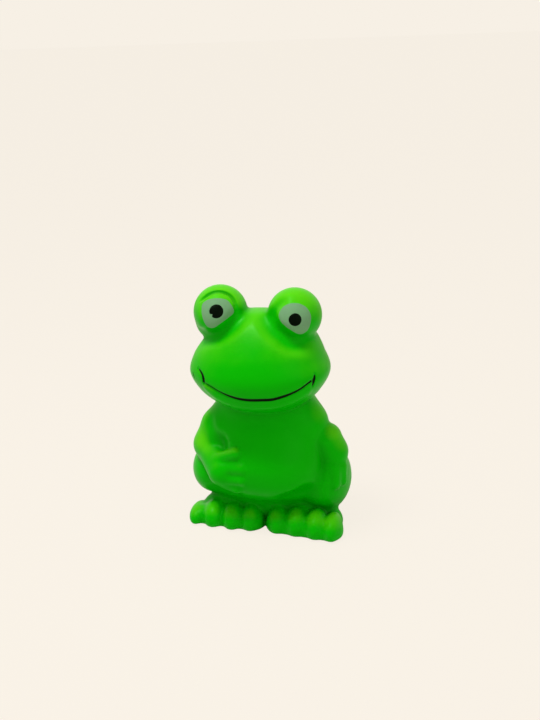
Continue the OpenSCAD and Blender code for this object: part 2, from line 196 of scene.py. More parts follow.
def radius_map(rows, at, lean, middle):
    """Radius of a form in each direction from its middle, found by halving on whole arrays."""
    turn = np.linspace(-np.pi, np.pi, TURNS + 1)[:, None]
    rise = np.linspace(-np.pi / 2, np.pi / 2, RISES + 1)[None, :]
    ways = np.stack(np.broadcast_arrays(np.cos(rise) * np.cos(turn), np.cos(rise) * np.sin(turn),
                                        np.sin(rise)), -1).reshape(-1, 3)
    near, far = np.zeros(len(ways)), np.full(len(ways), FARTHEST)
    for _ in range(HALVINGS):
        half = (near + far) / 2
        inside = ring_reach(middle + ways * half[:, None], rows, at, lean) < 1
        near, far = np.where(inside, half, near), np.where(inside, far, half)
    return near.reshape(TURNS + 1, RISES + 1)


def star_distance(points, chart, middle):
    """How far a point lies beyond the form's radius in its own direction, which is a mix of the
    map's four values round that direction, each by how near it is."""
    q = points - middle
    r = np.linalg.norm(q, axis=1) + TINY
    a = (np.arctan2(q[:, 1], q[:, 0]) / (2 * np.pi) + 0.5) * TURNS
    b = (np.arcsin(np.clip(q[:, 2] / r, -1, 1)) / np.pi + 0.5) * RISES
    i, j = np.minimum(a.astype(int), TURNS - 1), np.minimum(b.astype(int), RISES - 1)
    u, v = a - i, b - j
    low = chart[i, j] * (1 - u) + chart[i + 1, j] * u
    high = chart[i, j + 1] * (1 - u) + chart[i + 1, j + 1] * u
    return r - (low * (1 - v) + high * v)


HEAD_MIDDLE = HEAD_AT + [0, 1, 15]
BODY_MIDDLE = BODY_AT + [0, 1, 20]
head_chart = radius_map(head_rows, HEAD_AT, HEAD_LEAN, HEAD_MIDDLE)
body_chart = radius_map(body_rows, BODY_AT, BODY_LEAN, BODY_MIDDLE)
print("head radius", head_chart.min().round(1), "to", head_chart.max().round(1), "mm")


# %% [markdown]
# Eyes, thighs, toes and fingers are lumps, and arms are limbs that taper between round ends. Each
# has a short distance rule. Two rules are joined with a smooth minimum: where both are about
# alike, it gives a little less than either, which fills the corner with a fillet as a mould does.

# %% Distance rules and their blends
def lump(points, middle, half):
    """About the distance from an ellipsoid: its scaled radius less one, times that radius, over
    the steepness of half its square."""
    q = points - middle
    half = np.asarray(half, float)
    scaled = np.linalg.norm(q / half, axis=1)
    steepness = np.linalg.norm(q / half ** 2, axis=1)
    return scaled * (scaled - 1) / np.maximum(steepness, TINY)


def limb(points, start, end, start_r, end_r):
    """Distance from the nearest point of a line, less a radius that changes evenly along it."""
    start, way = np.asarray(start, float), np.subtract(end, start)
    along = np.clip((points - start) @ way / (way @ way), 0, 1)
    return (np.linalg.norm(points - start - along[:, None] * way, axis=1)
            - start_r - (end_r - start_r) * along)


def join(a, b, soft):
    """Smooth minimum: the lesser of two distances, less a quarter of the softness times the square
    of the share by which they are nearer to each other than the softness."""
    near = np.maximum(soft - np.abs(a - b), 0) / soft
    return np.minimum(a, b) - near ** 2 * soft / 4


def carve(a, b, soft):
    """A form without another one: the smooth maximum of its distance and the other's inside."""
    return -join(-a, b, soft)


print("two distances of 1 mm, joined over 2 mm, give", join(1.0, 1.0, 2.0), "mm")


# %% [markdown]
# The lumps and limbs have places in millimetres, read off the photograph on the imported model's own
# skin. The frog isn't symmetric: its right hand lies on its belly, its left hand on its thigh,
# its feet are turned a little and its head leans. So each side has its own row. A lump's row has a
# middle and three half sizes, and a limb's ends have a place and a radius each. A toe's row has its
# place across, its front, half its width and half its height.

# %% Places of the eyes, thighs, feet, arms and hands
EYE_BULGE_R, EYEBALL_R = 9.3, 7.5
BULGES = ((-13.1, -3.6, 80.0), (12.9, -3.6, 79.4))
EYEBALLS = ((-13.4, -6.7, 79.7), (13.2, -6.7, 79.0))
EYE_ROOT = ((-14.6, -4.0, 75.6), (6.6, 6.5, 5.5))
THIGHS = (((-19.9, 5.6, 18.0), (9.4, 13.8, 9.6)), ((19.9, 5.6, 15.1), (9.4, 14.1, 12.1)))
INSTEPS = (((-12.6, -0.4, 1.5), (13.4, 6.8, 9.8)), ((13.8, -2.0, 1.5), (13.5, 7.2, 8.6)))
SOLES = (((-23.6, -5.5, 2.0, 4.1), (-4.8, -7.5, 2.0, 4.8)),
         ((5.2, -8.1, 2.0, 4.8), (24.0, -11.3, 2.0, 4.8)))
TOES = ((-26.0, -11.0, 3.2, 3.7), (-19.2, -12.6, 4.5, 5.3), (-11.9, -13.6, 4.3, 5.5),
        (-5.2, -13.6, 3.9, 5.4), (4.9, -14.2, 3.9, 5.4), (12.0, -15.4, 4.3, 5.7),
        (19.2, -16.7, 4.3, 5.7), (25.1, -17.4, 3.4, 5.2))
TOE_HALF_LENGTH, TOE_RISE_SHARE = 7.0, 0.56
SHOULDERS = ((-15.3, 0.0, 36.4, 7.0), (15.5, 0.5, 38.3, 6.8))
ARMS = (((-17.6, 0.0, 36.0, 6.4), (-20.6, -0.8, 28.8, 6.0), (-13.5, -11.8, 23.4, 5.4)),
        ((21.6, 0.5, 32.6, 5.7), (23.4, 0.8, 27.5, 5.5), (23.8, -0.8, 22.5, 4.8)))
HANDS = ((((-14.5, -11.4, 27.8, 2.5), (-8.0, -14.0, 31.4, 2.0)),
          ((-13.0, -13.2, 25.2, 2.8), (-5.6, -15.6, 26.4, 2.1)),
          ((-12.5, -13.6, 21.6, 2.7), (-5.8, -16.0, 22.4, 2.0)),
          ((-12.0, -13.0, 19.2, 2.4), (-7.6, -15.2, 18.6, 1.8))),
         (((22.6, -3.6, 23.5, 2.2), (22.4, -5.6, 18.8, 1.8)),
          ((25.2, -3.6, 23.5, 2.4), (25.4, -5.0, 17.6, 2.0)),
          ((27.2, -1.8, 22.8, 2.1), (27.4, -2.2, 17.6, 1.8))))
POCKET = ((-16.0, -12.6, 33.5), (4.6, 5.2, 5.0))
print("toes:", len(TOES), "fingers:", [len(hand) for hand in HANDS])


# %% [markdown]
# The whole figure is blended in the order in which a sculptor would add clay: body and thighs,
# feet and toes, head, eyes, arms and hands. Each form is only worked out at the points near it,
# which keeps the work short. A join's value is the difference between two distances at which its
# fillet begins, so that a greater one is softer. The base is cut flat with a soft rim, and the hole
# for the squeaker is bored into it.

# %% The figure's distance rule
SQUEAKER_Y = 4.81
FLANGE_R, FLANGE_TOP, BARREL_R, BORE_DEPTH = 8.5, 2.6, 6.0, 8.0
BASE_RIM, HOLE_RIM = 1.2, 0.5
FEET_TOP = 16.0
THIGH_JOIN, SHOULDER_JOIN, NECK_JOIN, POCKET_JOIN = 2.0, 5.0, 1.7, 2.0
TOE_JOIN, SOLE_JOIN, INSTEP_JOIN, FOOT_JOIN = 0.3, 1.5, 1.0, 1.6
EYE_JOIN, EYEBALL_JOIN = 1.6, 0.8
ELBOW_JOIN, FINGER_JOIN, ARM_JOIN = 2.0, 1.1, 1.1


def add(field, points, middle, reach, rule, soft):
    """Joins one more rule to the field, at the points within reach of its middle and two joins'
    widths round that, because farther out it doesn't change the skin."""
    near = (np.abs(points - middle) < np.asarray(reach) + 2 * soft).all(1)
    if near.any():
        field[near] = join(field[near], rule(points[near]), soft)


def add_lump(field, points, middle, half, soft):
    """Joins an ellipsoid to the field."""
    middle = np.array(middle)
    add(field, points, middle, half, lambda p: lump(p, middle, half), soft)


def add_limb(field, points, ends, soft):
    """Joins one tapered limb, given as two ends, each a place and a radius."""
    (*a, ra), (*b, rb) = ends
    a, b = np.array(a), np.array(b)
    reach = np.abs(a - b) / 2 + max(ra, rb)
    add(field, points, (a + b) / 2, reach, lambda p: limb(p, a, b, ra, rb), soft)


def arm_distance(points, arm, hand):
    """Distance from an upper arm and forearm that share the elbow, and from the fingers."""
    field = np.full(len(points), FARTHEST)
    for ends in zip(arm, arm[1:]):
        add_limb(field, points, ends, ELBOW_JOIN)
    for ends in hand:
        add_limb(field, points, ends, FINGER_JOIN)
    return field


def foot_distance(points, instep, sole, toes):
    """Distance from one foot: four toes with narrow creases between them, which run softly into
    an instep and a sole."""
    row = np.full(len(points), FARTHEST)
    for x, front, half_width, half_height in toes:
        middle = (x, front + TOE_HALF_LENGTH, TOE_RISE_SHARE * half_height)
        add_lump(row, points, middle, (half_width, TOE_HALF_LENGTH, half_height), TOE_JOIN)
    field = np.full(len(points), FARTHEST)
    add_lump(field, points, *instep, SOLE_JOIN)
    add_limb(field, points, sole, SOLE_JOIN)
    return join(field, row, INSTEP_JOIN)


def plain_figure(points):
    """Distance of each point from the frog's skin before its creases are cut."""
    field = star_distance(points, body_chart, BODY_MIDDLE)
    for thigh in THIGHS:
        add_lump(field, points, *thigh, THIGH_JOIN)
    for *place, radius in SHOULDERS:
        add_lump(field, points, place, (radius,) * 3, SHOULDER_JOIN)
    low = points[:, 2] < FEET_TOP
    if low.any():
        for foot in zip(INSTEPS, SOLES, (TOES[:4], TOES[4:])):
            field[low] = join(field[low], foot_distance(points[low], *foot), FOOT_JOIN)
    head = star_distance(points, head_chart, HEAD_MIDDLE)
    add_lump(head, points, *EYE_ROOT, EYE_JOIN)
    for bulge, eyeball in zip(BULGES, EYEBALLS):
        add_lump(head, points, bulge, (EYE_BULGE_R,) * 3, EYE_JOIN)
        add_lump(head, points, eyeball, (EYEBALL_R,) * 3, EYEBALL_JOIN)
    field = join(field, head, NECK_JOIN)
    middle, half = np.array(POCKET)
    near = (np.abs(points - middle) < half + 2 * POCKET_JOIN).all(1)
    field[near] = carve(field[near], lump(points[near], middle, half), POCKET_JOIN)
    for arm, hand in zip(ARMS, HANDS):
        field = join(field, arm_distance(points, arm, hand), ARM_JOIN)
    return field


print("rule at the body's middle:", plain_figure(BODY_MIDDLE[None]).round(1), "mm")


# %% [markdown]
# A crease runs along a few places on the skin. A smooth curve through them is settled onto the
# skin: each point slides down the rule's slope until the rule gives zero. A tube round the curve
# is then carved away, or joined where it is a roll like the lower lip. The tube's middle lies a
# little outside the skin for a crease, and inside it for a roll, so that only its edge bites. A
# row of the tables has a path, its number of points, the tube's radius, how deep it bites, its
# join, and how much less deep it is at its start and at its end.

# %% Creases, hollows and rolls
SLOPE_STEP, LEAST_SLOPE, LONGEST_MOVE = 0.05, 0.2, 1.0
SKIN_ROUNDS, PATH_ROUNDS, PAINT_ROUNDS = 2, 4, 6
FADE_POWER, NEAR_MARGIN = 4, 1.0
MOUTH = ((-15.6, -19.2, 59.3), (-13.2, -20.4, 58.4), (-10.3, -21.3, 57.1), (-7.1, -21.8, 56.0),
         (-3.6, -22.0, 55.2), (0.2, -22.0, 54.9), (4.2, -21.9, 55.0), (7.9, -21.3, 55.1),
         (11.5, -20.5, 55.9), (14.7, -19.3, 56.9), (17.2, -18.0, 58.0), (19.0, -16.7, 59.3),
         (20.4, -15.2, 60.2))
RIGHT_TICK = ((-18.6, -16.0, 63.4), (-17.1, -17.8, 62.3), (-16.3, -18.7, 61.0),
              (-16.2, -18.9, 59.3))
LEFT_TICK = ((21.2, -13.8, 61.9), (21.0, -14.6, 60.0), (20.6, -14.7, 57.9))
LIP = ((-15.1, -19.2, 57.3), (-11.9, -19.8, 54.7), (-7.8, -19.9, 52.6), (-2.0, -19.8, 51.4),
       (3.9, -19.7, 51.4), (9.9, -18.8, 52.0), (15.2, -17.4, 53.7), (19.0, -15.5, 55.8))
RIGHT_LID = ((-18.3, -9.3, 85.2), (-17.2, -9.2, 86.2), (-15.3, -8.6, 87.7), (-13.0, -7.9, 88.4),
             (-10.8, -7.7, 88.3), (-8.6, -7.6, 87.3), (-6.9, -8.0, 85.7), (-6.0, -8.8, 83.5))
RIGHT_SOCKET = ((-6.0, -8.8, 83.5), (-5.6, -9.6, 81.4), (-7.4, -11.4, 79.3),
                (-10.0, -13.2, 77.4), (-12.9, -13.4, 75.9), (-15.3, -12.9, 76.4))
LEFT_SOCKET = ((10.8, -9.8, 86.8), (8.7, -10.4, 84.9), (7.1, -10.7, 82.0), (7.0, -11.2, 79.0))
UNDER_RIGHT_EYE = ((-5.6, -9.6, 80.6), (-7.6, -12.9, 77.2), (-11.2, -13.9, 74.6),
                   (-15.6, -12.4, 74.2), (-18.6, -8.8, 73.8))
UNDER_LEFT_EYE = ((6.4, -9.4, 79.8), (8.0, -12.6, 77.0), (10.6, -14.2, 74.4),
                  (13.8, -14.2, 72.4), (17.2, -12.0, 71.6))
OVER_RIGHT_FOOT = ((-16.8, -10.2, 13.6), (-13.0, -13.0, 13.4), (-9.0, -14.5, 12.4))
OVER_LEFT_FOOT = ((9.8, -14.2, 12.6), (13.6, -12.6, 14.2), (16.4, -10.4, 17.4))
OVER_RIGHT_ARM = ((-18.9, -5.0, 40.2), (-18.2, -6.2, 38.2), (-17.2, -7.0, 36.6))
CREASES = ((MOUTH, 30, 0.6, 0.35, 0.5, 0.15, 0.15),
           (RIGHT_TICK, 8, 0.55, 0.35, 0.5, 0.2, 0),
           (LEFT_TICK, 7, 0.5, 0.3, 0.5, 0.2, 0.1),
           (RIGHT_LID, 16, 0.75, 0.6, 0.5, 0.6, 0.4),
           (RIGHT_SOCKET, 14, 0.8, 0.35, 0.7, 0.2, 0.4))
LIP_ROLL = (LIP, 14, 1.7, 0.45, 1.6, 0.4, 0.4)
HOLLOWS = ((LEFT_SOCKET, 10, 1.6, 0.3, 1.6, 0.8, 0.8),
           (UNDER_RIGHT_EYE, 12, 2.2, 0.7, 2.6, 0.9, 0.9),
           (UNDER_LEFT_EYE, 12, 2.6, 0.9, 2.8, 1.0, 1.2),
           (OVER_RIGHT_FOOT, 8, 3.0, 1.2, 2.4, 1.4, 1.2),
           (OVER_LEFT_FOOT, 8, 3.4, 1.6, 2.6, 1.2, 1.6),
           (OVER_RIGHT_ARM, 6, 3.0, 0.6, 1.4, 0.6, 0.6))


def slope(rule, points):
    """Slope of a rule at each point, from its values a small step to each side."""
    steps = np.eye(3) * SLOPE_STEP
    return np.stack([(rule(points + s) - rule(points - s)) / (2 * SLOPE_STEP) for s in steps], 1)


def settle(rule, points, rounds, lift=0.0, way=None):
    """Moves points towards where the rule gives the wanted lift, zero on the skin, for some rounds:
    along its slope, or only along a given way, by what is missing over the square of that slope or
    way, and never by more than the longest move times it."""
    for _ in range(rounds):
        g = slope(rule, points) if way is None else way
        step = (rule(points) - lift) / np.maximum((g * g).sum(1), LEAST_SLOPE)
        points = points - g * np.clip(step, -LONGEST_MOVE, LONGEST_MOVE)[:, None]
    return points


def smooth_path(places, count, closed=False):
    """Points on a smooth curve through places, spread evenly over the steps between them."""
    p = np.asarray(places, float)
    p = np.vstack([p[-1:], p, p[:2]] if closed else [2 * p[:1] - p[1:2], p, 2 * p[-1:] - p[-2:-1]])
    at = np.linspace(0, len(p) - 3, count, endpoint=not closed)
    i = np.minimum(at.astype(int), len(p) - 4)
    u = (at - i)[:, None]
    return curve_point(p[i], p[i + 1], p[i + 2], p[i + 3], u)


def path_distance(points, path):
    """Distance of each point from a path of short straight steps."""
    return np.min([limb(points, a, b, 0, 0) for a, b in zip(path, path[1:])], 0)


def tube(places, count, radius, depth, soft, start_fade, end_fade, sign=-1):
    """A tube along a path on the plain skin. Its middle lies its radius less the depth away from
    the skin, and farther at both ends, by the fourth power of the way from the path's middle. Sign
    -1 is a tube to carve, with its middle outside, and 1 a roll to join, with its middle inside."""
    along = np.linspace(-1, 1, count)
    less_deep = np.where(along < 0, start_fade, end_fade) * along ** FADE_POWER
    lift = -sign * (radius - depth + less_deep)
    path = settle(plain_figure, smooth_path(places, count), PATH_ROUNDS, lift)
    return path, radius, soft, sign


creases = [tube(*row) for row in CREASES]
shapes = [tube(*LIP_ROLL, sign=1)] + [tube(*row) for row in HOLLOWS]
print("creases:", len(creases), "rolls and hollows:", len(shapes))


def figure(points):
    """Distance of each point from the frog's finished skin, in millimetres, negative inside: the
    plain rule with its tubes, without what lies under the ground and without the squeaker's
    hole."""
    field = plain_figure(points)
    for path, radius, soft, sign in shapes + creases:
        reach = radius + soft + NEAR_MARGIN
        near = ((points > path.min(0) - reach) & (points < path.max(0) + reach)).all(1)
        if near.any():
            distance = path_distance(points[near], path) - radius
            rule = join if sign > 0 else carve
            field[near] = rule(field[near], distance, soft)
    field = carve(field, points[:, 2], BASE_RIM)
    out = np.hypot(points[:, 0], points[:, 1] - SQUEAKER_Y)
    seat = np.maximum(out - FLANGE_R, points[:, 2] - FLANGE_TOP)
    bore = np.maximum(out - BARREL_R, points[:, 2] - BORE_DEPTH)
    return carve(carve(field, seat, HOLE_RIM), bore, HOLE_RIM)


# %% [markdown]
# The rule is turned into a mesh in the way that suits a soft form: it is worked out on a block of
# small cells, each cell that the skin crosses gets one vertex at the mean of its edges' crossings,
# and each crossed edge gets one quad between its four cells. Near a crease each quad is split in
# four, twice over. A neighbour that isn't split takes the new middle points into its own rim, so
# that no gap opens. At the end every vertex is settled on the skin.

# %% Mesh from a distance rule
CELL = 0.55
BLOCK_LOW, BLOCK_HIGH = (-31, -25, -1.5), (31, 25, 91)
FINE_REACHES = (2.0, 1.1)


def skin_mesh(rule, low, high, cell):
    """Vertices and quads of the surface where a rule is zero, one vertex in each crossed cell."""
    low = np.asarray(low, float)
    count = np.ceil((np.asarray(high) - low) / cell).astype(int) + 1
    axes = [low[i] + cell * np.arange(count[i]) for i in range(3)]
    layers = [rule(np.stack(np.meshgrid(axes[0], axes[1], [z], indexing="ij"), -1).reshape(-1, 3))
              for z in axes[2]]
    value = np.stack(layers, 1).reshape(count[0], count[1], count[2]).astype(np.float32)
    inside = value < 0
    cells = count - 1
    corners = list(itertools.product((0, 1), repeat=3))
    shifted = [inside[a:a + cells[0], b:b + cells[1], c:c + cells[2]] for a, b, c in corners]
    total = np.sum(shifted, 0)
    crossed = (total > 0) & (total < 8)
    vertex = np.full(cells, -1)
    vertex[crossed] = np.arange(crossed.sum())
    at = np.argwhere(crossed)
    sums, hits = np.zeros((len(at), 3)), np.zeros(len(at))
    for p, q in itertools.combinations(corners, 2):
        if sum(abs(i - j) for i, j in zip(p, q)) != 1:
            continue
        a, b = value[tuple((at + p).T)], value[tuple((at + q).T)]
        cut = (a < 0) != (b < 0)
        share = np.where(cut, a / np.where(cut, a - b, 1), 0)
        sums += np.where(cut[:, None], p + share[:, None] * np.subtract(q, p), 0)
        hits += cut
    quads = []
    for axis in range(3):
        u, v = (axis + 1) % 3, (axis + 2) % 3
        first = np.moveaxis(inside, (axis, u, v), (0, 1, 2))
        ids = np.moveaxis(vertex, (axis, u, v), (0, 1, 2))
        a, b = first[:-1, 1:-1, 1:-1], first[1:, 1:-1, 1:-1]
        for mask, flip in (((a & ~b), False), ((~a & b), True)):
            i, j, k = np.nonzero(mask)
            quad = np.stack([ids[i, j, k], ids[i, j + 1, k], ids[i, j + 1, k + 1],
                             ids[i, j, k + 1]], 1)
            quads.append(quad[:, ::-1] if flip else quad)
    return low + cell * (at + sums / hits[:, None]), np.vstack(quads).tolist()


def split_near(vertices, faces, reach):
    """Splits each quad that lies near a crease in four, and gives its neighbours the new points."""
    distance = np.full(len(vertices), FARTHEST)
    for path, *_ in creases:
        distance = np.minimum(distance, path_distance(vertices, path))
    close = distance < reach
    chosen = [len(face) == 4 and bool(close[face].any()) for face in faces]
    points, middles = [vertices], {}
    for face, split in zip(faces, chosen):
        for edge in zip(face, face[1:] + face[:1]) if split else ():
            middles.setdefault(tuple(sorted(edge)), len(vertices) + len(middles))
    points.append(np.mean([vertices[[a, b]] for a, b in middles], 1))
    new, centre = [], len(vertices) + len(middles)
    for face, split in zip(faces, chosen):
        between = [middles.get(tuple(sorted(e))) for e in zip(face, face[1:] + face[:1])]
        if split:
            new += [[face[i], between[i], centre, between[i - 1]] for i in range(4)]
            points.append(vertices[face].mean(0)[None])
            centre += 1
        else:
            new.append([i for pair in zip(face, between) for i in pair if i is not None])
    return np.vstack(points), new


def make_mesh(name, vertices, faces):
    """A smoothly shaded mesh object from arrays in millimetres, with its place in its mesh."""
    mesh = bpy.data.meshes.new(name)
    faces = faces if isinstance(faces, list) else faces.tolist()
    mesh.from_pydata((np.asarray(vertices) * MM).tolist(), [], faces)
    mesh.validate()
    mesh.update()
    mesh.polygons.foreach_set("use_smooth", np.ones(len(mesh.polygons), bool))
    piece = bpy.data.objects.new(name, mesh)
    bpy.context.scene.collection.objects.link(piece)
    return piece


vertices, quads = skin_mesh(figure, BLOCK_LOW, BLOCK_HIGH, CELL)
for reach in FINE_REACHES:
    vertices, quads = split_near(vertices, quads, reach)
vertices = settle(figure, vertices, SKIN_ROUNDS)
skin = make_mesh("frog_skin", vertices, quads)
print("skin:", len(vertices), "vertices,", len(quads), "faces")


# %% [markdown]
# Light and shade are painted into the vinyl's colour: what bulges out, what faces up, or a little to a side
# or back, and what lies higher is painted lighter and yellower as painted light, and hollows are painted
# deeper green as painted shade. The distance rule measures how a place bulges: its mean a step away on six
# sides is above zero round a lump and below zero in a hollow. A short step straight out shows how open the
# place is, which finds creases for painted shade. Four places look paler still in the photograph and get
# painted highlights: the right elbow, the left shoulder and two on the lip. Each is a row with its place,
# its reach and its amount. The vertices keep both numbers, the painted light and the openness, and the
# material reads them.

# %% Painted light and crease shade
SWELL_STEP, SWELL_LIMITS = 4.0, (-2.0, 1.0)
# Painted light: the way the skin is painted lighter when it faces it, and the weights of bulge and height in
# it.
LIT_WAY = np.array([0.26, 0.2, 0.9])
SWELL_WEIGHT, HEIGHT_WEIGHT = 0.42, 0.0055
# Painted highlights: each a place, a reach and an amount.
PAINTED_HIGHLIGHTS = (((-22.6, -5.8, 32.5), 5.0, 0.95), ((25.6, -1.8, 34.6), 5.5, 0.4),
              ((-13.5, -20.0, 55.5), 5.0, 0.5), ((17.7, -16.8, 55.5), 4.0, 0.3))
STEP_OUT = 0.9
PAINTED_LIGHT_ROUNDS, OPEN_ROUNDS = 8, 6


def keep(piece, name, values):
    """Stores one number for each vertex, under a name that a material can read."""
    made = piece.data.attributes.new(name, "FLOAT", "POINT")
    made.data.foreach_set("value", values.astype(np.float32))


def softened(piece, values, rounds):
    """Replaces each value by the mean of its neighbours' and its own, for some rounds."""
    ends = np.empty(2 * len(piece.data.edges), np.int32)
    piece.data.edges.foreach_get("vertices", ends)
    a, b = ends.reshape(-1, 2).T
    count = len(values)
    near = 1 + np.bincount(a, minlength=count) + np.bincount(b, minlength=count)
    for _ in range(rounds):
        total = np.bincount(a, values[b], count) + np.bincount(b, values[a], count)
        values = (values + total) / near
    return values


def keep_shape(piece, points):
    """Painted light adds up how far the skin faces up, to a side and back, how much it bulges, its height,
    and each painted highlight's amount, in a bell curve of the distance over the highlight's reach. Open is
    the share of a short step out that is clear, and is low in creases, which get painted shade."""
    normal = slope(figure, points)
    normal /= np.linalg.norm(normal, axis=1)[:, None]
    # Openness, which sets where creases get painted shade.
    clear = softened(piece, figure(points + STEP_OUT * normal) / STEP_OUT, OPEN_ROUNDS)
    steps = SWELL_STEP * np.vstack([np.eye(3), -np.eye(3)])
    swell = np.clip(np.mean([figure(points + step) for step in steps], 0), *SWELL_LIMITS)
    normal[:, 0] = np.abs(normal[:, 0])
    # Painted light: lighter where the skin faces up, to a side or back, bulges and lies high.
    painted_light = normal @ LIT_WAY + SWELL_WEIGHT * swell + HEIGHT_WEIGHT * points[:, 2]
    # Painted highlights on the right elbow, the left shoulder and the lip.
    for middle, reach, amount in PAINTED_HIGHLIGHTS:
        painted_light += amount * np.exp(-((points - middle) ** 2).sum(1) / reach ** 2)
    keep(piece, "painted_light", softened(piece, painted_light, PAINTED_LIGHT_ROUNDS))
    keep(piece, "open", clear)
    print(piece.name, "painted_light", painted_light.mean().round(2), "open", clear.mean().round(2))


keep_shape(skin, vertices)


# %% [markdown]
# The eyes' white is sprayed through a mask, so its rim is soft, and one is softer than the other. A
# paint patch has two parameters: the turn round its middle, and the share of the way from there to
# the outline. Each point is settled on the finished skin and lifted a little. The rim sinks into
# the skin, and an amount of spray fades across it. A white's row is a place on its outline and the
# softness there. A pupil is a place, a radius and a softness, and has a nick where the paint is
# missing: a turn, a share of the radius and a breadth.

# %% Whites and pupils of the eyes
RIGHT_WHITE = ((-17.1, -12.3, 82.8, 0.1), (-17.1, -10.9, 84.7, 0.1), (-15.7, -10.5, 85.9, 0.12),
               (-13.4, -10.4, 86.6, 0.14), (-10.8, -10.0, 86.6, 0.12), (-8.8, -9.6, 85.9, 0.1),
               (-7.3, -9.8, 84.2, 0.1), (-6.2, -9.9, 81.6, 0.12), (-7.9, -11.9, 80.1, 0.1),
               (-10.5, -13.5, 78.4, 0.08), (-13.6, -13.5, 76.6, 0.12), (-15.4, -13.7, 78.0, 0.1),
               (-16.6, -13.4, 80.5, 0.1))
LEFT_WHITE = ((9.4, -12.6, 82.0, 0.26), (10.1, -11.8, 84.3, 0.24), (12.1, -11.3, 85.6, 0.18),
              (14.4, -10.9, 86.0, 0.14), (16.6, -10.4, 85.5, 0.12), (18.7, -10.0, 83.9, 0.1),
              (19.9, -10.1, 81.1, 0.1), (19.3, -10.8, 77.8, 0.1), (17.8, -11.1, 75.6, 0.1),
              (16.1, -11.9, 75.1, 0.12), (14.2, -13.5, 76.6, 0.12), (11.5, -13.8, 78.4, 0.14),
              (9.9, -13.3, 80.1, 0.22))
PUPILS = (((-11.8, -13.2, 83.0), 2.5, 0.15), ((15.2, -13.8, 80.9), 2.3, 0.15))
NICKS = ((3.75, 0.32, 0.16), (2.2, 0.04, 0.5))
PATCH_RINGS, PATCH_TURNS, PUPIL_TURNS = 26, 96, 48
WHITE_LIFT, PUPIL_LIFT, RIM_SINK = 0.07, 0.14, 0.04


def fade(values, start, end):
    """1 at the start and 0 at the end. Between them it is one, less three squares of the share of
    the way, plus two of its cubes."""
    u = np.clip((values - start) / (end - start), 0, 1)
    return 1 - u * u * (3 - 2 * u)


def paint_patch(name, outline, lift):
    """A patch of paint round the middle of its outline. At share s of the way out, a point is the
    middle plus s times the way to the outline, settled on the skin."""
    rim = smooth_path(outline, PATCH_TURNS, closed=True)
    rim, soft = rim[:, :3], rim[:, 3]
    middle = settle(figure, rim.mean(0)[None], PAINT_ROUNDS)
    share = np.linspace(0, 1, PATCH_RINGS + 1)[1:, None] * (1 + soft)
    points = middle + share[..., None] * (rim - middle)
    spray = fade(share, 1 - soft, 1 + soft).ravel()
    points = np.vstack([middle, points.reshape(-1, 3)])
    spray = np.concatenate([[1], spray])
    points = settle(figure, points, PAINT_ROUNDS, (lift + RIM_SINK) * spray - RIM_SINK)
    i = np.arange(PATCH_TURNS)
    j = (i + 1) % PATCH_TURNS
    faces = [[0, a + 1, b + 1] for a, b in zip(i, j)]
    for ring in range(PATCH_RINGS - 1):
        a = 1 + ring * PATCH_TURNS
        faces += np.stack([a + i, a + PATCH_TURNS + i, a + PATCH_TURNS + j, a + j], 1).tolist()
    piece = make_mesh(name, points, faces)
    keep(piece, "spray", spray)
    keep_shape(piece, points)
    return piece


def pupil_outline(middle, radius, soft, nick):
    """A ring round a place on the skin, flattened where the paint has a nick: the radius less the
    nick's share of it, in a bell curve of the turn from the nick over its breadth."""
    turn = np.linspace(0, 2 * np.pi, PUPIL_TURNS + 1)[:-1]
    out = slope(figure, np.array([middle]))[0]
    right = np.cross([0, 0, 1], out)
    right /= np.linalg.norm(right)
    up = np.cross(out, right) / np.linalg.norm(out)
    reach = radius * (1 - nick[1] * np.exp(-((turn - nick[0]) / nick[2]) ** 2))
    places = middle + reach[:, None] * (np.cos(turn)[:, None] * right + np.sin(turn)[:, None] * up)
    return np.hstack([places, np.full((PUPIL_TURNS, 1), soft)])


whites = [paint_patch("right_white_paint", RIGHT_WHITE, WHITE_LIFT),
          paint_patch("left_white_paint", LEFT_WHITE, WHITE_LIFT)]
pupils = [paint_patch(name, pupil_outline(*pupil, nick), PUPIL_LIFT)
          for name, pupil, nick in zip(("right_pupil_paint", "left_pupil_paint"), PUPILS, NICKS)]
print("points of paint:", [len(piece.data.vertices) for piece in whites + pupils])


# %% [markdown]
# The mouth's black is brushed into its groove: widest in the middle, narrower towards the frog's
# left and narrowest towards its right. A strip has two parameters, the way along the groove and
# the share across it. Sideways is the path's direction crossed with the skin's own. Half widths
# are spread evenly along each path: the mouth's, the right and the left tick's, and a small mark's.
# A strip runs past its half width by a share, so that the paint can thin out over its rim.

# %% Paint in the mouth's groove
STRIP_ACROSS = 9
HALF_WIDTHS = ((0.08, 0.12, 0.2, 0.38, 0.52, 0.6, 0.62, 0.62, 0.55, 0.42, 0.32, 0.3, 0.38),
               (0.1, 0.4, 0.6, 0.6), (0.24, 0.6, 0.5, 0.2), (0.1, 0.3, 0.1))
STEPS_ALONG = (150, 24, 20, 12)
MARK = ((-21.3, -14.0, 61.3), (-20.9, -14.7, 60.3), (-20.4, -15.3, 59.4))
STRIP_LIFT, STRIP_OVERRUN, STRIP_SOLID, END_POWER = 0.06, 1.3, 0.55, 30


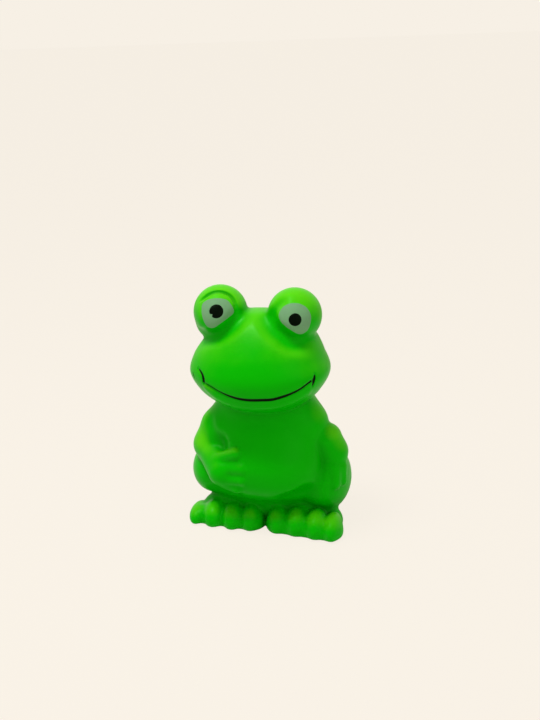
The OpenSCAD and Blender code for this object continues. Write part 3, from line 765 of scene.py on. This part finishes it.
def paint_strip(places, count, half_widths):
    """Points, faces and spray of a strip along a path, let down onto the finished skin. A point is
    the path's plus sideways times the overrun half width times the share across."""
    path = settle(plain_figure, smooth_path(places, count), PATH_ROUNDS)
    out = slope(plain_figure, path)
    out /= np.linalg.norm(out, axis=1)[:, None]
    side = np.cross(np.gradient(path, axis=0), out)
    side /= np.linalg.norm(side, axis=1)[:, None]
    along = np.linspace(0, 1, count)
    half = np.interp(along, np.linspace(0, 1, len(half_widths)), half_widths)
    across = np.linspace(-1, 1, STRIP_ACROSS)
    near_end = np.abs(2 * along - 1) ** END_POWER
    spray = fade(np.maximum(np.abs(across), near_end[:, None]), STRIP_SOLID, 1)
    points = path[:, None] + (STRIP_OVERRUN * half[:, None] * across)[..., None] * side[:, None]
    lift = ((STRIP_LIFT + RIM_SINK) * spray - RIM_SINK).ravel()
    ways = np.repeat(out, STRIP_ACROSS, 0)
    points = settle(figure, points.reshape(-1, 3), PAINT_ROUNDS, lift, ways)
    first = (np.arange(count - 1)[:, None] * STRIP_ACROSS + np.arange(STRIP_ACROSS - 1)).ravel()
    faces = np.stack([first, first + STRIP_ACROSS, first + STRIP_ACROSS + 1, first + 1], 1)
    return points, faces, spray.ravel()


def make_mouth():
    """One mesh of the strips along the mouth, its two ticks and the small mark beside it."""
    paths = [path for path, *_ in creases[:3]] + [MARK]
    strips = [paint_strip(*row) for row in zip(paths, STEPS_ALONG, HALF_WIDTHS)]
    starts = np.cumsum([0] + [len(points) for points, *_ in strips])
    points = np.vstack([points for points, *_ in strips])
    faces = np.vstack([faces + start for (_, faces, _), start in zip(strips, starts)])
    piece = make_mesh("mouth_paint", points, faces)
    keep(piece, "spray", np.concatenate([spray for *_, spray in strips]))
    keep_shape(piece, points)
    return piece


mouth = make_mouth()


# %% [markdown]
# Materials are small node trees that read the vertices' numbers and a noise in object coordinates,
# so that they look alike from everywhere. The first two helpers add a node, and link or set what
# goes into it.

# %% Node helpers
MIX_SHARE, MIX_LOW, MIX_HIGH, MIX_RESULT = 0, 6, 7, 2


def set_inputs(tree, node, inputs):
    """Links or sets a node's inputs."""
    for name, value in inputs.items():
        if isinstance(value, bpy.types.NodeSocket):
            tree.links.new(value, node.inputs[name])
        else:
            node.inputs[name].default_value = value


def add_node(tree, kind, inputs=None, **settings):
    """Adds a node, sets its settings, and links or sets its inputs."""
    made = tree.nodes.new("ShaderNode" + kind)
    for name, value in settings.items():
        setattr(made, name, value)
    set_inputs(tree, made, inputs or {})
    return made


def mix_colours(tree, share, low, high):
    """Colour between low and high, each a colour or a socket, by a share."""
    low, high = (c if isinstance(c, bpy.types.NodeSocket) else (*c, 1) for c in (low, high))
    made = add_node(tree, "Mix", {MIX_SHARE: share, MIX_LOW: low, MIX_HIGH: high},
                    data_type="RGBA")
    return made.outputs[MIX_RESULT]


def noise(tree, scale, detail=3.0):
    """Noise in object coordinates, with a scale in features to the metre."""
    place = add_node(tree, "TexCoord").outputs["Object"]
    return add_node(tree, "TexNoise", {"Vector": place, "Scale": scale, "Detail": detail}).outputs[0]


def stretch(tree, value, low, high, new_low=0.0, new_high=1.0):
    """Carries the range low to high over to a new one, smoothly, and stops at its ends."""
    return add_node(tree, "MapRange", {"Value": value, "From Min": low, "From Max": high,
                                       "To Min": new_low, "To Max": new_high},
                    interpolation_type="SMOOTHSTEP").outputs[0]


def new_material(name):
    """A material, its node tree and its main shader."""
    made = bpy.data.materials.new(name)
    made.use_nodes = True
    return made, made.node_tree, made.node_tree.nodes["Principled BSDF"]


def bump(tree, strength, *heights):
    """A normal that follows some heights one after another, each a socket and a depth in metres."""
    normal = None
    for height, depth in heights:
        inputs = {"Height": height, "Distance": depth, "Strength": strength}
        if normal:
            inputs["Normal"] = normal
        normal = add_node(tree, "Bump", inputs).outputs[0]
    return normal


# %% [markdown]
# The vinyl's colour goes from a shaded deep green over a clear one to a lit yellower one, as painted light
# and shade, and is painted darker in creases as painted shade, with a faint mottle, a grain of the mould and
# slow waves in its sheen. Its sheen is tinted green and weak, because soft vinyl is satin and the
# photograph's highlights are green. Scales are in features to the metre and depths in metres.

# %% Vinyl
# Shaded, middle and lit greens of one vinyl, mixed by the painted light; the crease green is painted shade.
SHADED_GREEN, MIDDLE_GREEN, LIT_GREEN = (0.0, 0.37, 0.0), (0.002, 0.47, 0.0), (0.09, 0.62, 0.004)
CREASE_SHADE_GREEN = (0.0, 0.17, 0.001)
MIDDLE_RANGE, LIT_RANGE, CREASE_SHADE_RANGE = (-0.4, 0.7), (0.75, 1.7), (0.3, 0.95)
MOTTLE_SCALE, MOTTLE_WEIGHT = 260.0, 0.2
NOISE_RANGE = (0.3, 0.7)
SHEEN_SCALE, VINYL_ROUGHNESS = 150.0, (0.29, 0.37)
VINYL_SHEEN, VINYL_SHEEN_TINT = 0.1, (0.4, 1.0, 0.35, 1.0)
GLOW_WEIGHT, GLOW_DEPTH, GLOW_REACHES = 0.12, 0.002, (0.3, 1.0, 0.2)
VINYL_GRAIN, VINYL_WAVES, VINYL_BUMP = (2400.0, 0.00004), (180.0, 0.00025), 0.5


def number(tree, name):
    """A number that the vertices keep."""
    return add_node(tree, "Attribute", attribute_name=name).outputs["Fac"]


def add_share(tree, first, value, weight):
    """A value plus another one times its weight."""
    return add_node(tree, "Math", {0: value, 1: weight, 2: first},
                    operation="MULTIPLY_ADD").outputs[0]


def vinyl_colour(tree):
    """Green from shaded to lit by the painted light that the vertices keep and a mottle, and darkened in
    creases as painted shade.
    """
    # Painted light that the vertices keep, plus a mottle of the vinyl's own tone.
    painted_light = add_share(tree, number(tree, "painted_light"), noise(tree, MOTTLE_SCALE), MOTTLE_WEIGHT)
    middle = mix_colours(tree, stretch(tree, painted_light, *MIDDLE_RANGE), SHADED_GREEN, MIDDLE_GREEN)
    green = mix_colours(tree, stretch(tree, painted_light, *LIT_RANGE), middle, LIT_GREEN)
    # Painted shade in creases: the crease green where the skin is not open.
    clear = stretch(tree, number(tree, "open"), *CREASE_SHADE_RANGE)
    return mix_colours(tree, clear, CREASE_SHADE_GREEN, green)


def grain(tree, strength, *layers):
    """A normal from layers of noise, each a scale and a depth."""
    return bump(tree, strength, *[(noise(tree, scale), depth) for scale, depth in layers])


def vinyl_surface(tree, shader):
    """The vinyl's sheen, its slight glow of light from within, and its grain."""
    waves = noise(tree, SHEEN_SCALE)
    set_inputs(tree, shader, {
        "Roughness": stretch(tree, waves, *NOISE_RANGE, *VINYL_ROUGHNESS),
        "Specular IOR Level": VINYL_SHEEN, "Specular Tint": VINYL_SHEEN_TINT,
        "Subsurface Weight": GLOW_WEIGHT, "Subsurface Scale": GLOW_DEPTH,
        "Subsurface Radius": GLOW_REACHES,
        "Normal": grain(tree, VINYL_BUMP, VINYL_GRAIN, VINYL_WAVES)})


def vinyl_material():
    """Bright green soft vinyl."""
    made, tree, shader = new_material("green vinyl")
    set_inputs(tree, shader, {"Base Color": vinyl_colour(tree)})
    vinyl_surface(tree, shader)
    return made


vinyl = vinyl_material()
skin.data.materials.append(vinyl)
print("skin's material:", vinyl.name)


# %% [markdown]
# Paint is a second colour over the first one, by the amount of spray with a little noise in it, so
# that its rim is speckled as a sprayed rim is. The white and the mouth's black lie over vinyl, and
# a pupil's black lies over the white. The photograph's whites have a green cast, and keep it here.

# %% Sprayed and brushed paint
EYE_WHITE, PAINT_BLACK = (0.17, 0.36, 0.18), (0.001, 0.001, 0.001)
SPECK_SCALE, SPECK_WEIGHT, SPRAY_RANGE = 2600.0, 0.4, (0.45, 0.95)
PAINT_SHEEN = 0.06
THIN_ROUGHNESS, WHITE_ROUGHNESS, BLACK_ROUGHNESS = 0.45, 0.5, 0.38


def spray_share(tree):
    """The spray's amount with a little noise, so that its rim is speckled."""
    speckled = add_share(tree, number(tree, "spray"), noise(tree, SPECK_SCALE), SPECK_WEIGHT)
    return stretch(tree, speckled, *SPRAY_RANGE)


def paint_material(name, under, over, roughness):
    """Paint over the vinyl or over another paint. Its own sheen comes in where it is thick."""
    made, tree, shader = new_material(name)
    under = under or vinyl_colour(tree)
    share = spray_share(tree)
    vinyl_surface(tree, shader)
    set_inputs(tree, shader, {
        "Base Color": mix_colours(tree, share, under, over),
        "Specular IOR Level": PAINT_SHEEN,
        "Roughness": stretch(tree, share, 0, 1, THIN_ROUGHNESS, roughness)})
    return made


white_paint = paint_material("white eye paint", None, EYE_WHITE, WHITE_ROUGHNESS)
pupil_paint = paint_material("black pupil paint", EYE_WHITE, PAINT_BLACK, BLACK_ROUGHNESS)
mouth_black = paint_material("black mouth paint", None, PAINT_BLACK, BLACK_ROUGHNESS)
for pieces, material in ((whites, white_paint), (pupils, pupil_paint), ([mouth], mouth_black)):
    for piece in pieces:
        piece.data.materials.append(material)
print("paints:", [paint.name for paint in (white_paint, pupil_paint, mouth_black)])


# %% [markdown]
# The squeaker shows only from underneath. Its plastic is the natural colour with a cloudy mottle,
# and the reed is brass, rolled along its length. Each hard part gets a small round on its edges,
# as moulded and cut parts have.

# %% Squeaker's plastic and brass
SQUEAKER_PLASTIC, HOLDER_PLASTIC = (0.74, 0.71, 0.6), (0.8, 0.79, 0.76)
SQUEAKER_ROUGHNESS, HOLDER_ROUGHNESS, ROUGHNESS_SPREAD = 0.38, 0.35, 0.12
CLOUD_SCALE, CLOUD_DETAIL, DARKER_SHARE = 420.0, 5.0, 0.86
PLASTIC_SHEEN_SCALE, PLASTIC_GRAIN, PLASTIC_BUMP = 700.0, (3000.0, 0.00003), 0.4
PLASTIC_GLOW_WEIGHT, PLASTIC_GLOW_DEPTH = 0.1, 0.001
BRASS, DARK_BRASS, BRASS_ROUGHNESS = (0.76, 0.56, 0.22), (0.5, 0.32, 0.1), (0.25, 0.4)
STREAK_SCALES, STREAK_DEPTH, STREAK_BUMP = (4000.0, 4000.0, 150.0), 0.00001, 0.3
EDGE_ROUNDS = {"squeaker_barrel": 0.18, "squeaker_cap": 0.15, "reed_holder": 0.12,
               "reed_wedge": 0.12, "reed": 0.02}
ROUND_SEGMENTS, LEAST_EDGE_DEGREES = 3, 35


def plastic_material(name, colour, roughness):
    """Moulded plastic with a cloudy mottle and a fine grain."""
    made, tree, shader = new_material(name)
    darker = tuple(DARKER_SHARE * part for part in colour)
    cloud = stretch(tree, noise(tree, CLOUD_SCALE, CLOUD_DETAIL), *NOISE_RANGE)
    waves = noise(tree, PLASTIC_SHEEN_SCALE)
    rougher = roughness + ROUGHNESS_SPREAD
    set_inputs(tree, shader, {
        "Base Color": mix_colours(tree, cloud, darker, colour),
        "Roughness": stretch(tree, waves, *NOISE_RANGE, roughness, rougher),
        "Subsurface Weight": PLASTIC_GLOW_WEIGHT, "Subsurface Scale": PLASTIC_GLOW_DEPTH,
        "Normal": grain(tree, PLASTIC_BUMP, PLASTIC_GRAIN)})
    return made


def brass_material():
    """Thin rolled brass, with streaks along the strip."""
    made, tree, shader = new_material("rolled brass")
    place = add_node(tree, "TexCoord").outputs["Object"]
    drawn = add_node(tree, "Mapping", {"Vector": place, "Scale": STREAK_SCALES})
    streaks = add_node(tree, "TexNoise", {"Vector": drawn.outputs[0], "Scale": 1.0}).outputs[0]
    bright = stretch(tree, streaks, *NOISE_RANGE)
    set_inputs(tree, shader, {
        "Base Color": mix_colours(tree, bright, DARK_BRASS, BRASS), "Metallic": 1.0,
        "Roughness": stretch(tree, streaks, *NOISE_RANGE, *BRASS_ROUGHNESS),
        "Normal": bump(tree, STREAK_BUMP, (streaks, STREAK_DEPTH))})
    return made


def finish_part(node, material, edge):
    """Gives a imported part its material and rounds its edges."""
    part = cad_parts[node]
    part.data.materials.clear()
    part.data.materials.append(material)
    rounding = part.modifiers.new("edge round", "BEVEL")
    rounding.width, rounding.segments = edge * MM, ROUND_SEGMENTS
    rounding.limit_method, rounding.angle_limit = "ANGLE", np.radians(LEAST_EDGE_DEGREES)


squeaker_plastic = plastic_material("natural plastic", SQUEAKER_PLASTIC, SQUEAKER_ROUGHNESS)
holder_plastic = plastic_material("white plastic", HOLDER_PLASTIC, HOLDER_ROUGHNESS)
finishes = {"squeaker_barrel": squeaker_plastic, "squeaker_cap": squeaker_plastic,
            "reed_holder": holder_plastic, "reed_wedge": holder_plastic,
            "reed": brass_material()}
for node, material in finishes.items():
    finish_part(node, material, EDGE_ROUNDS[node])
print("squeaker parts:", list(finishes))


# %% [markdown]
# The photograph has a plain cream ground and no visible shadow. The floor shows that cream to the
# camera and keeps a faint part of its own lit surface, so that the toy's shadow stays. The world
# is cream to the camera, to gloss and to glass, and otherwise gives only a weak even light.

# %% Floor and world
CREAM = (0.93, 0.871, 0.784)
FLOOR_SHARE_SEEN, FLOOR_GLOW, WORLD_STRENGTH = 0.93, 1.02, 0.55
FLOOR_HALF, FLOOR_ROUGHNESS, FLOOR_SHEEN = 3.0, 0.9, 0.1


def ray_kind(tree, *kinds):
    """1 where a ray is of one of these kinds."""
    outputs = add_node(tree, "LightPath").outputs
    share = outputs[kinds[0]]
    for kind in kinds[1:]:
        share = add_node(tree, "Math", {0: share, 1: outputs[kind]}, operation="MAXIMUM").outputs[0]
    return share


def make_floor():
    """A wide level floor under the toy."""
    corners = np.array([(-1, -1, 0), (1, -1, 0), (1, 1, 0), (-1, 1, 0)])
    floor = make_mesh("floor", corners * FLOOR_HALF / MM, [[0, 1, 2, 3]])
    made, tree, shader = new_material("cream floor")
    set_inputs(tree, shader, {"Base Color": (*CREAM, 1), "Roughness": FLOOR_ROUGHNESS,
                              "Specular IOR Level": FLOOR_SHEEN})
    glow = add_node(tree, "Emission", {"Color": (*CREAM, 1), "Strength": FLOOR_GLOW})
    seen = add_node(tree, "Math", {0: ray_kind(tree, "Is Camera Ray"), 1: FLOOR_SHARE_SEEN},
                    operation="MULTIPLY")
    mixed = add_node(tree, "MixShader", {0: seen.outputs[0], 1: shader.outputs[0],
                                         2: glow.outputs[0]})
    tree.links.new(mixed.outputs[0], tree.nodes["Material Output"].inputs["Surface"])
    floor.data.materials.append(made)


def make_world():
    """Cream to the camera and in reflections, and a weak even light otherwise."""
    world = bpy.data.worlds.new("world")
    bpy.context.scene.world = world
    world.use_nodes = True
    tree = world.node_tree
    seen = ray_kind(tree, "Is Camera Ray", "Is Glossy Ray", "Is Transmission Ray")
    strength = add_node(tree, "MapRange", {"Value": seen, "To Min": WORLD_STRENGTH})
    ground = tree.nodes["Background"]
    ground.inputs["Color"].default_value = (*CREAM, 1)
    tree.links.new(strength.outputs[0], ground.inputs["Strength"])


make_floor()
make_world()
print("ground:", CREAM)


# %% [markdown]
# The photograph's highlights lie on top of the eyes and the forehead, a little to the frog's right.
# So the main lamp is a small soft square a little under half a metre from the toy, above it, on
# that side and somewhat in front. A wide one farther off fills in from the frog's left. Their power
# is set so that a colour renders about as it is written. A lamp's row has its name, its place and
# its width in metres, and its power in watts.

# %% Lamps
LAMPS = (("key", (-0.105, -0.095, 0.48), 0.12, 1.3), ("fill", (0.6, -0.6, 0.35), 0.6, 0.8))
LAMP_AIM = Vector((0, 0, 0.045))


def make_lamp(name, place, size, power):
    """A square area lamp aimed at the toy's middle."""
    data = bpy.data.lights.new(name, "AREA")
    data.size, data.energy = size, power
    lamp = bpy.data.objects.new(name, data)
    bpy.context.scene.collection.objects.link(lamp)
    lamp.location = place
    lamp.rotation_euler = (LAMP_AIM - lamp.location).to_track_quat("-Z", "Y").to_euler()


for lamp_row in LAMPS:
    make_lamp(*lamp_row)
bpy.context.scene.view_settings.view_transform = "Standard"
print("lamps:", [name for name, *_ in LAMPS])


# %% [markdown]
# Each piece of the scene stands for imported nodes, which are hidden, and rides on a body. The skin bends
# between two, the toy and the belly. The bend's first shares follow one direction, so the whole front would
# go in. Its shares are therefore narrowed to the pressed disc: they stay as they are up to the first
# distance from the disc's middle, and are none beyond the second one.

# %% Bodies and the squeeze
PRESS_MIDDLE, PRESS_FULL, PRESS_END = np.array([1.8, 23.0]), 6.5, 15.0
FOLLOWS = 0.01

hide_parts("vinyl_skin", "belly_wall")
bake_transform(skin, "toy", "belly", start=(0.0018, 0.0, 0.023), end=(0.0018, -0.01, 0.023))
weights = skin.data.attributes["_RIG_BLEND"].data
share = np.empty(len(skin.data.vertices), np.float32)
weights.foreach_get("value", share)
from_middle = np.linalg.norm(vertices[:, [0, 2]] - PRESS_MIDDLE, axis=1)
share *= fade(from_middle, PRESS_FULL, PRESS_END)
weights.foreach_set("value", share)
for piece, node, slot in ((whites[0], "right_eye_white", "white_paint"),
                          (whites[1], "left_eye_white", "white_paint"),
                          (pupils[0], "right_pupil", "black_paint"),
                          (pupils[1], "left_pupil", "black_paint"),
                          (mouth, "mouth_line", "black_paint")):
    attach(piece, "toy")
    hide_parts(node)
print("vertices that follow the belly:", int((share > FOLLOWS).sum()))
